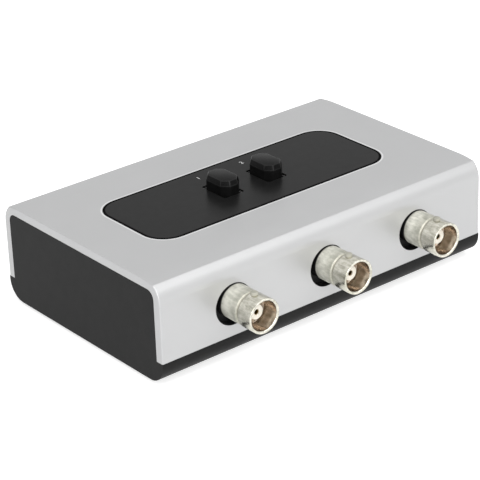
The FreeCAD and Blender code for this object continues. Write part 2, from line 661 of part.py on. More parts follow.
def make_switch_base(k):
    """The floor of a switch: it carries the terminals and the lower end of the spring."""
    body = new_body("switch_base_%d" % k, x=button_at(k), z=BOARD_TOP)
    outline = new_sketch(body, "base_outline_%d" % k, "XY_Plane")
    centred(outline, "0", "0", "switch_width - switch_wall*2 - press_gap*2",
            "switch_depth - switch_wall*2 - press_gap*2")
    pad(body, "base_sheet_%d" % k, outline, "switch_floor")
    spigot = new_sketch(body, "base_spigot_circle_%d" % k, "XY_Plane", z="switch_floor - bite")
    circle(spigot, "0", "0", "spigot_radius")
    pad(body, "base_spigot_%d" % k, spigot, "spigot_height + bite")
    slots = new_sketch(body, "blade_slots_%d" % k, "XY_Plane")
    for tag, sx, row in blades(k):
        centred(slots, "blade_side*%d" % sx, "blade_pitch*%d" % row,
                "blade_thick + press_gap*2", "blade_width + press_gap*2")
    body.Tip = pocket(body, "blade_cuts_%d" % k, slots, "switch_floor + beyond", backwards=True)


def make_terminals(k):
    """Six upright blades, each with a leg through the board."""
    terminals = []
    for tag, sx, row in blades(k):
        x = "%s + blade_side*%d - blade_thick/2" % (button_at(k), sx)
        height = BLADE_HEIGHT if row else BLADE_HEIGHT + " - blade_drop"
        blade = box("blade_" + tag, "blade_thick", "blade_width", height,
                    x, "blade_pitch*%d - blade_width/2" % row, "board_under + board_thick")
        leg = box("leg_" + tag, "blade_thick", "blade_leg", "board_thick + pin_below + bite",
                  x, "blade_pitch*%d - blade_leg/2" % row, "board_under - pin_below")
        terminals.append(joined("terminal_" + tag, [blade, leg]))
    group("terminals_%d" % k, terminals)


def make_clips(k):
    """Two folded contact strips on the slider's sides, facing the blades."""
    clips = []
    reach = "(blade_side - blade_thick/2 - slider_width/2 - run_gap)"
    low = "board_under + board_thick + %s - clip_drop - clip_height" % SLIDER_TOP
    for sx in (-1, 1):
        tag = "%d_%s" % (k, "left" if sx < 0 else "right")
        left = "%s + slider_width/2" % button_at(k) if sx > 0 else \
            "%s - slider_width/2 - %s" % (button_at(k), reach)
        strip = box("strip_" + tag, reach, "clip_depth", "clip_height", left, "-clip_depth/2", low)
        space = box("space_" + tag, reach + " - clip_thick*2", "clip_depth + beyond*2",
                    "clip_height - clip_thick*2", left + " + clip_thick", "-clip_depth/2 - beyond",
                    low + " + clip_thick")
        clips.append(difference("clip_" + tag, strip, space))
    group("moving_contacts_%d" % k, clips)


def coil(name, radius, wire, length, turns):
    """A round wire swept along a helix that rises from the origin along Z."""
    path = doc.addObject("Part::Helix", name + "_path")
    bind(path, Radius=radius, Height=length, Pitch="(%s)/%s" % (length, turns))
    ring = doc.addObject("Part::Circle", name + "_ring")
    ring.Placement = FreeCAD.Placement(FreeCAD.Vector(), FreeCAD.Rotation(FreeCAD.Vector(1, 0, 0), 90))
    bind(ring, Radius=wire, Placement__Base__x=radius)
    spring = doc.addObject("Part::Sweep", name)
    spring.Sections = [ring]
    spring.Spine = (path, ["Edge1"])
    spring.Solid = True
    spring.Frenet = True
    return spring


def make_return_spring(k):
    """The coil between the switch base and the slider."""
    spring = coil("return_spring_%d" % k, "spring_radius", "spring_wire",
                  SLIDER_LOW + " - switch_floor - spring_wire*2 - spring_gap*2", "spring_turns")
    add_node(spring, "return_spring_%d" % k, x=button_at(k),
             z=BOARD_TOP + " + switch_floor + spring_wire + spring_gap")


# ---------------------------------------------------------------- latch behind the switches
def make_latch_bar():
    """A sliding sheet with one window per nib; a tooth in each window holds a nib that is down."""
    body = new_body("latch_bar", x="button_x", y=BAR_FRONT, z=BOARD_TOP)
    low = CHANNEL_LOW + " + sheet + run_gap"
    high = SWITCH_HEIGHT + " - sheet - run_gap"
    middle = SWITCH_HEIGHT + " - channel_height/2"
    left = "-channel_half + sheet + run_gap"
    outline = new_sketch(body, "bar_outline", "XZ_Plane", z="-bar_thick")
    polygon(outline, [(left, low), ("bar_half", low),
                      ("bar_half", middle + " - tongue_height/2"),
                      ("bar_half + tongue_length", middle + " - tongue_height/2"),
                      ("bar_half + tongue_length", middle + " + tongue_height/2"),
                      ("bar_half", middle + " + tongue_height/2"),
                      ("bar_half", high), (left, high)])
    pad(body, "bar_sheet", outline, "bar_thick")
    windows = new_sketch(body, "bar_windows", "XZ_Plane")
    for k in BUTTONS:
        mid = "button_pitch/2*%d" % (-1 if k == 1 else 1)
        right = mid + " + nib_width/2 + nib_gap"
        edge = mid + " - nib_width/2 - nib_gap"
        notch = edge + " - bar_stroke"
        tooth_top = NIB_LOW + " - nib_gap"
        tooth_low = tooth_top + " - tooth_height"
        base = NIB_LOW + " - travel - nib_gap"
        crown = NIB_TOP + " + nib_gap"
        polygon(windows, [(notch, base), (right, base), (right, crown), (notch, crown),
                          (notch, tooth_top), (edge, tooth_top), (edge, tooth_low), (notch, tooth_low)])
    body.Tip = pocket(body, "bar_window_cuts", windows, "bar_thick*4", midplane=True)


def make_bracket():
    """The channel that guides the latch bar; its end walls stand on the board."""
    body = new_body("bank_bracket", x="button_x", z=BOARD_TOP)
    front = "(switch_depth/2 + press_gap)"
    back = WEB_FRONT + " + sheet"
    profile = new_sketch(body, "channel_profile", "YZ_Plane")
    polygon(profile, [(front, CHANNEL_LOW), (back, CHANNEL_LOW), (back, SWITCH_HEIGHT),
                      (front, SWITCH_HEIGHT), (front, SWITCH_HEIGHT + " - sheet"),
                      (WEB_FRONT, SWITCH_HEIGHT + " - sheet"), (WEB_FRONT, CHANNEL_LOW + " + sheet"),
                      (front, CHANNEL_LOW + " + sheet")])
    pad(body, "channel", profile, "channel_half*2", midplane=True)
    middle = "(%s + %s)/2" % (front, back)
    foot = "-board_thick - leg_below"
    for name, shift in (("left", "-channel_half"), ("right", "channel_half - sheet")):
        wall = new_sketch(body, name + "_wall_outline", "YZ_Plane", z=shift)
        polygon(wall, [(front, "0"), (middle + " - leg_width/2", "0"), (middle + " - leg_width/2", foot),
                       (middle + " + leg_width/2", foot), (middle + " + leg_width/2", "0"), (back, "0"),
                       (back, SWITCH_HEIGHT), (front, SWITCH_HEIGHT)])
        body.Tip = pad(body, name + "_wall", wall, "sheet")


def make_latch_spring():
    """The coil that pushes the latch bar back to the left."""
    spring = coil("latch_spring", "latch_coil", "latch_wire",
                  "channel_half - sheet - bar_half - latch_wire*2 - spring_gap*2", "latch_turns")
    spring.Placement = FreeCAD.Placement(FreeCAD.Vector(), FreeCAD.Rotation(FreeCAD.Vector(0, 1, 0), 90))
    add_node(spring, "latch_spring", "button_x + bar_half + latch_wire + spring_gap",
             BAR_FRONT + " + bar_thick/2", BOARD_TOP + " + %s - channel_height/2" % SWITCH_HEIGHT)


# ---------------------------------------------------------------- circuit board
def make_board():
    body = new_body("circuit_board", z="foot_height + board_under")
    outline = new_sketch(body, "board_outline", "XY_Plane")
    rectangle(outline, "-" + BOARD_HALF, BOARD_HALF, "-" + BOARD_FRONT, BOARD_REAR)
    sheet = pad(body, "board_sheet", outline, "board_thick")
    soften(body, "Fillet", "board_corners", sheet, is_upright, "board_corner")
    holes = new_sketch(body, "board_holes", "XY_Plane")
    for sx, sy in CORNERS:
        x, y = post_at(sx, sy)
        circle(holes, x, y, "board_shank + hole_gap")
    for k in JACKS:
        circle(holes, jack_at(k), HOUSING_FRONT + " + solder_back", "solder_radius + pin_gap")
        for sx in (-1, 1):
            x = jack_at(k) + " + pin_side*%d" % sx
            circle(holes, x, HOUSING_FRONT + " + pin_back", "pin_radius + pin_gap")
            circle(holes, x, HOUSING_FRONT + " + peg_back", "peg_radius + pin_gap")
    for k in BUTTONS:
        for tag, sx, row in blades(k):
            circle(holes, "%s + blade_side*%d" % (button_at(k), sx), "blade_pitch*%d" % row,
                   "(blade_thick + blade_leg)/2")
    middle = "(switch_depth/2 + press_gap + %s + sheet)/2" % WEB_FRONT
    for sx in (-1, 1):
        centred(holes, "button_x + (channel_half - sheet/2)*%d" % sx, middle,
                "sheet + leg_gap*2", "leg_width + leg_gap*2")
    body.Tip = pocket(body, "board_hole_cuts", holes, "board_thick + beyond", backwards=True)


# ---------------------------------------------------------------- jacks
def make_housing(k):
    """The black block that carries a jack on the board."""
    body = new_body("jack_housing_%d" % k, x=jack_at(k), y=HOUSING_FRONT, z=JACK_AXIS)
    foot = "(board_under + board_thick - %s)" % JACK_HEIGHT
    outline = new_sketch(body, "housing_outline_%d" % k, "XZ_Plane")
    rectangle(outline, "-housing_width/2", "housing_width/2", foot, "housing_top")
    block = pad(body, "housing_block_%d" % k, outline, "housing_depth", backwards=True)
    soften(body, "Chamfer", "housing_edges_%d" % k, block,
           lambda b: near(b.YMin, 0) and near(b.YMax, 0), "housing_bevel")
    bore = new_sketch(body, "housing_bore_%d" % k, "XZ_Plane")
    circle(bore, "0", "0", TAIL_RADIUS + " + press_gap")
    pocket(body, "shell_bore_%d" % k, bore, "tail_depth + press_gap")
    inner = new_sketch(body, "housing_inner_bore_%d" % k, "XZ_Plane")
    circle(inner, "0", "0", "insulator_radius + press_gap")
    pocket(body, "inner_bore_%d" % k, inner, "solder_back + housing_back")
    slot = new_sketch(body, "tail_slot_outline_%d" % k, "XZ_Plane", z="-tail_depth - slot_wall")
    rectangle(slot, "-slot_width/2", "slot_width/2", foot + " - beyond", "0")
    pocket(body, "tail_slot_%d" % k, slot, "solder_back - tail_depth - slot_wall + housing_back")
    pins = new_sketch(body, "pin_holes_%d" % k, "XY_Plane", z=foot)
    pegs = new_sketch(body, "peg_circles_%d" % k, "XY_Plane", z=foot + " + bite")
    for sx in (-1, 1):
        circle(pins, "pin_side*%d" % sx, "pin_back", "pin_radius + press_gap")
        circle(pegs, "pin_side*%d" % sx, "peg_back", "peg_radius")
    pocket(body, "ground_pin_holes_%d" % k, pins, "pin_grip + press_gap", backwards=True)
    body.Tip = pad(body, "housing_pegs_%d" % k, pegs, "board_thick + bite", backwards=True)


def make_shell(k):
    """The turned metal barrel with its mating sleeve and two bayonet lugs."""
    body = new_body("jack_shell_%d" % k, x=jack_at(k), y="-case_depth/2", z=JACK_AXIS)
    bore = "insulator_radius + press_gap"
    sleeve_bore = "sleeve_radius - sleeve_wall"
    profile = new_sketch(body, "shell_profile_%d" % k, "XY_Plane")
    polygon(profile, [
        (bore, SHELL_REAR), (TAIL_RADIUS, SHELL_REAR), (TAIL_RADIUS, HOUSING_DEEP),
        ("root_radius", HOUSING_DEEP), ("root_radius", "-neck_back + neck_slope"),
        ("sleeve_radius - neck_depth", "-neck_back"), ("sleeve_radius - neck_depth", "-neck_front"),
        ("sleeve_radius", "-neck_front - neck_slope"), ("sleeve_radius", "-jack_reach + rim_bevel"),
        ("sleeve_radius - rim_bevel", "-jack_reach"), (sleeve_bore + " + mouth_bevel", "-jack_reach"),
        (sleeve_bore, "-jack_reach + mouth_bevel"), (sleeve_bore, SLEEVE_FLOOR), (bore, SLEEVE_FLOOR)])
    turned(body, "shell_turning_%d" % k, profile)
    for name, side in (("upper", 1), ("lower", -1)):
        lug = new_sketch(body, "%s_lug_circle_%d" % (name, k), "XY_Plane",
                         z="(sleeve_radius - bite)*%d" % side)
        circle(lug, "0", "-jack_reach + lug_back", "lug_radius")
        body.Tip = pad(body, "%s_lug_%d" % (name, k), lug, "lug_rise + bite", backwards=side < 0)


def make_insulator(k):
    """The white tube between the shell and the centre contact."""
    body = new_body("jack_insulator_%d" % k, x=jack_at(k), y="-case_depth/2", z=JACK_AXIS)
    hole = "contact_radius + press_gap"
    step = NOSE_FRONT + " + contact_back - press_gap"
    profile = new_sketch(body, "insulator_profile_%d" % k, "XY_Plane")
    polygon(profile, [
        (hole, SHELL_REAR), ("insulator_radius", SHELL_REAR), ("insulator_radius", SLEEVE_FLOOR),
        ("nose_radius", SLEEVE_FLOOR + " - insulator_bevel"),
        ("nose_radius", NOSE_FRONT + " + insulator_bevel"),
        ("nose_radius - insulator_bevel", NOSE_FRONT), ("contact_bore + nose_hole_gap", NOSE_FRONT),
        ("contact_bore + nose_hole_gap", step), (hole, step)])
    body.Tip = turned(body, "insulator_turning_%d" % k, profile)


def make_contact(k):
    """The centre contact: a tube in front, and a solder tail that turns down through the board."""
    body = new_body("jack_contact_%d" % k, x=jack_at(k), y="-case_depth/2", z=JACK_AXIS)
    front = NOSE_FRONT + " + contact_back"
    bend = HOUSING_DEEP + " + solder_back"
    profile = new_sketch(body, "contact_profile_%d" % k, "XY_Plane")
    polygon(profile, [
        ("0", front + " + contact_depth"), ("contact_bore", front + " + contact_depth - contact_cone"),
        ("contact_bore", front), ("contact_radius", front),
        ("contact_radius", SHELL_REAR + " + contact_rear"),
        ("rod_radius", SHELL_REAR + " + contact_rear"),
        ("rod_radius", bend + " + rod_radius"), ("0", bend + " + rod_radius")])
    turned(body, "contact_turning_%d" % k, profile)
    tail = new_sketch(body, "tail_circle_%d" % k, "XY_Plane")
    circle(tail, "0", bend, "solder_radius")
    body.Tip = pad(body, "solder_tail_%d" % k, tail, JACK_HEIGHT + " - board_under + pin_below",
                   backwards=True)


def make_ground_pins(k):
    pins = []
    for name, sx in (("left", -1), ("right", 1)):
        pins.append(cylinder("ground_pin_%d_%s" % (k, name), "pin_radius",
                             "board_thick + pin_below + pin_grip",
                             jack_at(k) + " + pin_side*%d" % sx, HOUSING_FRONT + " + pin_back",
                             "board_under - pin_below"))
    group("ground_pins_%d" % k, pins)


# ---------------------------------------------------------------- screws
def make_screw(name, at, head, head_height, head_low, shank, length, shank_low, slot_low):
    """A pan-head screw with a cross recess."""
    x, y = at
    knob = cylinder(name + "_head", head, head_height, x, y, head_low)
    rod = cylinder(name + "_shank", shank, length + " + bite", x, y, shank_low)
    blank = joined(name + "_blank", [knob, rod])
    across = "%s*cross_share" % head
    bars = []
    for tag, wide, deep in (("along", across, "cross_width"), ("over", "cross_width", across)):
        bars.append(box(name + "_slot_" + tag, wide, deep, "cross_depth + beyond",
                        "%s - %s/2" % (x, wide), "%s - %s/2" % (y, deep), slot_low))
    return difference(name, blank, joined(name + "_cross", bars))


def make_board_screws():
    seat = "board_under + board_thick"
    screws = []
    for number, (sx, sy) in enumerate(CORNERS, start=1):
        screws.append(make_screw(
            "board_screw_%d" % number, post_at(sx, sy), "board_head", "board_head_height", seat,
            "board_shank", "board_shank_length", seat + " - board_shank_length",
            seat + " + board_head_height - cross_depth"))
    group("board_screws", screws)


def make_case_screws():
    screws = []
    for number, (sx, sy) in enumerate(CORNERS, start=1):
        screws.append(make_screw(
            "case_screw_%d" % number, case_screw_at(sx, sy), "case_head", "case_head_height",
            "case_seat - case_head_height", "case_shank", "case_shank_length", "case_seat - bite",
            "case_seat - case_head_height - beyond"))
    group("case_screws", screws)


make_cover()
make_tray()
make_label()
make_board()
for k in BUTTONS:
    make_cap(k)
    make_plunger(k)
    make_switch_body(k)
    make_switch_base(k)
    make_terminals(k)
    make_clips(k)
    make_return_spring(k)
make_latch_bar()
make_bracket()
make_latch_spring()
for k in JACKS:
    make_housing(k)
    make_shell(k)
    make_insulator(k)
    make_contact(k)
    make_ground_pins(k)
make_board_screws()
make_case_screws()
make_feet()
doc.recompute()

for thing in doc.Objects:
    if "Invalid" in thing.State or "Error" in thing.State:
        raise RuntimeError("%s failed: %s" % (thing.Name, thing.State))
for node in NODES:
    if node.Shape.isNull() or not node.Shape.isValid():
        raise RuntimeError(node.Label + " has no valid shape")

os.makedirs("parts", exist_ok=True)
for node in NODES:
    node.Shape.exportStep("parts/%s.step" % node.Label)
    b = node.Shape.optimalBoundingBox(False)
    print("%-18s solids %d volume %9.2f  x %.2f..%.2f y %.2f..%.2f z %.2f..%.2f" % (
        node.Label, len(node.Shape.Solids), node.Shape.Volume,
        b.XMin, b.XMax, b.YMin, b.YMax, b.ZMin, b.ZMax))
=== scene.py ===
import json
import math

import bmesh
import bpy
from mathutils import Matrix, Vector


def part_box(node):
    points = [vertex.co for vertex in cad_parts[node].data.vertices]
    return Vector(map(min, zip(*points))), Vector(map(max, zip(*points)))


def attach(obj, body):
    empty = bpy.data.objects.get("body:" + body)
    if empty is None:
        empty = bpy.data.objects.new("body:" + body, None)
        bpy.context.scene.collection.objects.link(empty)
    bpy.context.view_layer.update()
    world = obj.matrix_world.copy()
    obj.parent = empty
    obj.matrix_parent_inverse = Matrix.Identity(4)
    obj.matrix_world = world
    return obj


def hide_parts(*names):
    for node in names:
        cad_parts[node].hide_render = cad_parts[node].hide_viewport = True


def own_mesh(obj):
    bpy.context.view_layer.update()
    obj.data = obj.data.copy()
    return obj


MM = 0.001


def link(thing):
    """Put an object into the scene."""
    bpy.context.scene.collection.objects.link(thing)
    return thing


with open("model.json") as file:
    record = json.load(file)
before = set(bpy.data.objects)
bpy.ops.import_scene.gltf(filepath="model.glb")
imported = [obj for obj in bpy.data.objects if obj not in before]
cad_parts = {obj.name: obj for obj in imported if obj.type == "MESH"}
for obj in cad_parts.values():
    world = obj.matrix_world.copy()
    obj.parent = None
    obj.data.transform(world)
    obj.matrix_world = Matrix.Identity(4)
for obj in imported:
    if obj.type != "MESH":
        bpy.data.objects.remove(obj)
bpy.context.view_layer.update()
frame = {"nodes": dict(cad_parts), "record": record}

# Places and sizes that the scene shares with the model, in metres.
COVER_LOW, COVER_HIGH = (Vector(corner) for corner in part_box("top_cover"))
COVER_MID = (COVER_LOW + COVER_HIGH) / 2
COVER_WALL = 2.4 * MM
INNER_BEND = 2.4 * MM
HOLE_LEFT = 0.5 * MM        # the holes in the cover, from the axes of their jacks
HOLE_BELOW = 0.72 * MM
HOLE_RADIUS = 5.85 * MM
GROOVE_AT = 6.3 * MM        # the middle of the groove round a jack, in front of the cover
LABEL_LOW, LABEL_HIGH = (Vector(corner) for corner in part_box("label_plate"))
LABEL_CORNER = 7.2 * MM
HIGHLIGHT_LINE_AT = 0.35 * MM          # the middle of the painted highlight line outside the label
HIGHLIGHT_LINE_CORE = 0.10 * MM        # half-widths of that line at full strength and at its end
HIGHLIGHT_LINE_END = 0.40 * MM
SKIN = 0.03 * MM            # how near to a surface a painted mask still counts as on it


def middle(node):
    """The middle of a node's box."""
    low, high = (Vector(corner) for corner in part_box(node))
    return (low + high) / 2


JACKS = [middle("jack_shell_%d" % k) for k in (1, 2, 3)]
CAPS = [middle("button_cap_%d" % k) for k in (1, 2)]


# ---------------------------------------------------------------- materials
class Paint:
    """A node material with one Principled shader, built step by step."""

    def __init__(self, name, roughness=0.5, metallic=0.0, specular=0.5):
        self.material = bpy.data.materials.new(name)
        self.material.use_nodes = True
        self.nodes = self.material.node_tree.nodes
        self.links = self.material.node_tree.links
        self.shader = self.nodes["Principled BSDF"]
        self.shader.inputs["Roughness"].default_value = roughness
        self.shader.inputs["Metallic"].default_value = metallic
        self.shader.inputs["Specular IOR Level"].default_value = specular
        self.place = self.nodes.new("ShaderNodeTexCoord").outputs["Object"]

    def noise(self, size, detail=3.0, stretch=None):
        """Noise whose grains are about size metres across."""
        source = self.place
        if stretch:
            mapping = self.nodes.new("ShaderNodeMapping")
            mapping.inputs["Scale"].default_value = stretch
            self.links.new(source, mapping.inputs["Vector"])
            source = mapping.outputs["Vector"]
        node = self.nodes.new("ShaderNodeTexNoise")
        node.inputs["Scale"].default_value = 1.0 / size
        node.inputs["Detail"].default_value = detail
        self.links.new(source, node.inputs["Vector"])
        return node.outputs["Fac"]

    def ramp(self, value, low, high, at=(0.35, 0.65)):
        """Two colours blended by a value."""
        node = self.nodes.new("ShaderNodeValToRGB")
        for element, position, colour in zip(node.color_ramp.elements, at, (low, high)):
            element.position = position
            element.color = (*colour, 1.0)
        self.links.new(value, node.inputs["Fac"])
        return node.outputs["Color"]

    def map_range(self, value, low, high, start=0.3, end=0.7):
        """A value from start to end carried over to low to high, and held there outside."""
        node = self.nodes.new("ShaderNodeMapRange")
        node.inputs["From Min"].default_value = start
        node.inputs["From Max"].default_value = end
        node.inputs["To Min"].default_value = low
        node.inputs["To Max"].default_value = high
        self.links.new(value, node.inputs["Value"])
        return node.outputs["Result"]

    def math(self, kind, a, b=0.0):
        """One arithmetic node; a and b are numbers or outputs of other nodes."""
        node = self.nodes.new("ShaderNodeMath")
        node.operation = kind
        for socket, value in zip(node.inputs, (a, b)):
            if isinstance(value, (int, float)):
                socket.default_value = value
            else:
                self.links.new(value, socket)
        return node.outputs["Value"]

    def distance(self, a, b):
        """Length of the flat vector (a, b)."""
        squares = self.math("MULTIPLY", a, a), self.math("MULTIPLY", b, b)
        return self.math("SQRT", self.math("ADD", *squares))

    def axes(self):
        """The place on the object along X, Y and Z, in metres."""
        split = self.nodes.new("ShaderNodeSeparateXYZ")
        self.links.new(self.place, split.inputs["Vector"])
        return split.outputs

    def blend(self, share, a, b):
        """Colour a where share is 0 and colour b where it is 1."""
        node = self.nodes.new("ShaderNodeMix")
        node.data_type = "RGBA"
        self.links.new(share, node.inputs["Factor"])
        for socket, value in zip((node.inputs["A"], node.inputs["B"]), (a, b)):
            if isinstance(value, tuple):
                socket.default_value = (*value, 1.0)
            else:
                self.links.new(value, socket)
        return node.outputs["Result"]

    def colour(self, output):
        self.links.new(output, self.shader.inputs["Base Color"])

    def rough(self, output):
        self.links.new(output, self.shader.inputs["Roughness"])

    def metal(self, output):
        self.links.new(output, self.shader.inputs["Metallic"])

    def bump(self, height, depth, strength=1.0):
        node = self.nodes.new("ShaderNodeBump")
        node.inputs["Distance"].default_value = depth
        node.inputs["Strength"].default_value = strength
        self.links.new(height, node.inputs["Height"])
        self.links.new(node.outputs["Normal"], self.shader.inputs["Normal"])


def simple(name, low, high, grain, roughness, metallic=0.0, depth=0.0, specular=0.5):
    """A material of one substance: slightly uneven colour and finish with a fine grain."""
    paint = Paint(name, roughness, metallic, specular)
    cloud = paint.noise(grain * 25, 4.0)
    paint.colour(paint.ramp(cloud, low, high))
    fine = paint.noise(grain, 2.0)
    paint.rough(paint.map_range(fine, roughness * 0.9, roughness * 1.1))
    if depth:
        paint.bump(fine, depth, 0.5)
    return paint.material


def grey(value):
    return (value, value, value)


def outside_label(paint):
    """Distance outwards from the label's outline; negative on the label."""
    reach = []
    for axis, value in zip((0, 1), paint.axes()):
        half = (LABEL_HIGH[axis] - LABEL_LOW[axis]) / 2 - LABEL_CORNER
        centre = (LABEL_HIGH[axis] + LABEL_LOW[axis]) / 2
        side = paint.math("ABSOLUTE", paint.math("SUBTRACT", value, centre))
        reach.append(paint.math("MAXIMUM", paint.math("SUBTRACT", side, half), 0.0))
    return paint.math("SUBTRACT", paint.distance(*reach), LABEL_CORNER)


def label_film():
    """Dark glossy film that turns black and rougher in a narrow band along its outline."""
    paint = Paint("label_film", 0.31, 0.0, 0.06)
    cloud = paint.ramp(paint.noise(2.5 * MM, 4.0), grey(0.010), grey(0.012))
    border = paint.map_range(outside_label(paint), 0.0, 1.0, -0.80 * MM, -0.50 * MM)
    paint.colour(paint.blend(border, cloud, grey(0.001)))
    fine = paint.noise(0.10 * MM, 2.0)
    paint.rough(paint.math("ADD", paint.map_range(fine, 0.28, 0.34),
                           paint.math("MULTIPLY", border, 0.66)))
    paint.bump(fine, 0.002 * MM, 0.5)
    return paint.material


def in_hole(paint):
    """1 on the walls of the jacks' holes in the cover, 0 elsewhere."""
    x, y, z = paint.axes()
    walls = []
    for jack in JACKS:
        across = paint.math("SUBTRACT", x, jack.x - HOLE_LEFT)
        up = paint.math("SUBTRACT", z, jack.z - HOLE_BELOW)
        walls.append(paint.math("LESS_THAN", paint.distance(across, up), HOLE_RADIUS + SKIN))
    either = paint.math("MAXIMUM", paint.math("MAXIMUM", walls[0], walls[1]), walls[2])
    return paint.math("MULTIPLY", either, paint.math("LESS_THAN", y, COVER_MID.y))


def inside_cover(paint):
    """1 on the inner faces of the cover, 0 elsewhere."""
    x, y, z = paint.axes()
    side = paint.math("ABSOLUTE", paint.math("SUBTRACT", y, COVER_MID.y))
    half = COVER_HIGH.y - COVER_MID.y - COVER_WALL
    over = paint.math("MAXIMUM", paint.math("SUBTRACT", side, half - INNER_BEND), 0.0)
    top = COVER_HIGH.z - COVER_WALL - INNER_BEND
    up = paint.math("MAXIMUM", paint.math("SUBTRACT", z, top), 0.0)
    return paint.math("LESS_THAN", paint.distance(over, up), INNER_BEND + SKIN)


def label_rim(paint):
    """A painted highlight: a light line on the paint round the label, fading to both sides."""
    x, y, z = paint.axes()
    from_line = paint.math("ABSOLUTE", paint.math("SUBTRACT", outside_label(paint), HIGHLIGHT_LINE_AT))
    line = paint.map_range(from_line, 0.50, 0.0, HIGHLIGHT_LINE_CORE, HIGHLIGHT_LINE_END)
    return paint.math("MULTIPLY", line, paint.math("GREATER_THAN", z, COVER_HIGH.z - 0.2 * MM))


def silver_paint():
    """Silver paint on the outside of a black moulding; hole walls and the inside are bare."""
    paint = Paint("silver_paint", roughness=0.42, metallic=0.55)
    flakes = paint.noise(0.10 * MM, 2.0)
    cloud = paint.noise(14 * MM, 3.0)
    silver = paint.blend(cloud, (0.470, 0.472, 0.476), (0.500, 0.502, 0.505))
    # painted highlight: a near-white line on the silver round the label
    silver = paint.blend(label_rim(paint), silver, grey(0.95))
    bare = paint.math("MAXIMUM", in_hole(paint), inside_cover(paint))
    paint.colour(paint.blend(bare, silver, grey(0.010)))
    paint.metal(paint.math("MULTIPLY", paint.math("SUBTRACT", 1.0, bare), 0.55))
    paint.rough(paint.map_range(flakes, 0.38, 0.46))
    paint.bump(flakes, 0.01 * MM, 0.25)
    return paint.material


def nickel():
    """Nickel on a die casting: a rough root and a smooth sleeve. Painted light and shade: the
    root is lighter near the cover and darker towards the groove, it turns black inside the
    cover's hole, and the groove between root and sleeve is darkened."""
    paint = Paint("nickel", metallic=1.0)
    streaks = paint.noise(0.7 * MM, 3.0, (1.0, 0.25, 1.0))
    patches = paint.noise(1.8 * MM, 3.0)
    mixed = paint.math("MULTIPLY", paint.math("ADD", streaks, patches), 0.5)
    ahead = paint.math("SUBTRACT", COVER_LOW.y, paint.axes()["Y"])
    smooth = paint.map_range(ahead, 0.0, 1.0, GROOVE_AT - 0.2 * MM, GROOVE_AT + 0.2 * MM)
    root = paint.ramp(mixed, (0.52, 0.52, 0.45), (0.78, 0.77, 0.69), (0.38, 0.62))
    sleeve = paint.ramp(mixed, (0.44, 0.43, 0.36), (0.70, 0.68, 0.60), (0.38, 0.62))
    # painted light and shade: the root is lighter near the cover and turns darker towards the
    # groove
    shaded_root = paint.ramp(mixed, (0.38, 0.38, 0.32), (0.58, 0.57, 0.50), (0.38, 0.62))
    root = paint.blend(paint.map_range(ahead, 0.0, 1.0, 2.6 * MM, 4.8 * MM), root, shaded_root)
    metal = paint.blend(smooth, root, sleeve)
    # painted shade: the metal darkens in patches in and round the groove
    from_groove = paint.math("ABSOLUTE", paint.math("SUBTRACT", ahead, GROOVE_AT))
    groove_shade = paint.map_range(from_groove, 1.0, 0.0, 0.25 * MM, 0.7 * MM)
    groove_shade = paint.math("MULTIPLY", groove_shade, paint.map_range(patches, 0.25, 0.7))
    metal_and_shade = paint.blend(groove_shade, metal, (0.22, 0.20, 0.15))
    # painted shade: black and not metallic where the barrel lies inside the cover's hole
    outside = paint.map_range(ahead, 0.0, 1.0, -0.05 * MM, 0.25 * MM)
    paint.colour(paint.blend(outside, grey(0.006), metal_and_shade))
    paint.rough(paint.math("ADD", paint.map_range(smooth, 0.40, 0.16, 0.0, 1.0),
                           paint.map_range(patches, 0.0, 0.10)))
    coat = paint.math("MAXIMUM", smooth, paint.map_range(ahead, 0.30, 0.75, 0.5 * MM, 4.5 * MM))
    paint.metal(paint.math("MULTIPLY", coat, outside))
    paint.bump(mixed, 0.03 * MM, 0.4)
    return paint.material


def dull_bore():
    """The bore of a sleeve: metal with a brown tone, painted darker than the outside for the
    shade inside the bore.
    """
    paint = Paint("dull_bore", roughness=0.20, metallic=1.0)
    patches = paint.noise(1.4 * MM, 3.0, (1.0, 0.4, 1.0))
    paint.colour(paint.ramp(patches, (0.34, 0.30, 0.25), (0.62, 0.54, 0.46)))
    paint.rough(paint.map_range(patches, 0.16, 0.28))
    paint.bump(paint.noise(0.3 * MM, 2.0), 0.02 * MM, 0.4)
    return paint.material


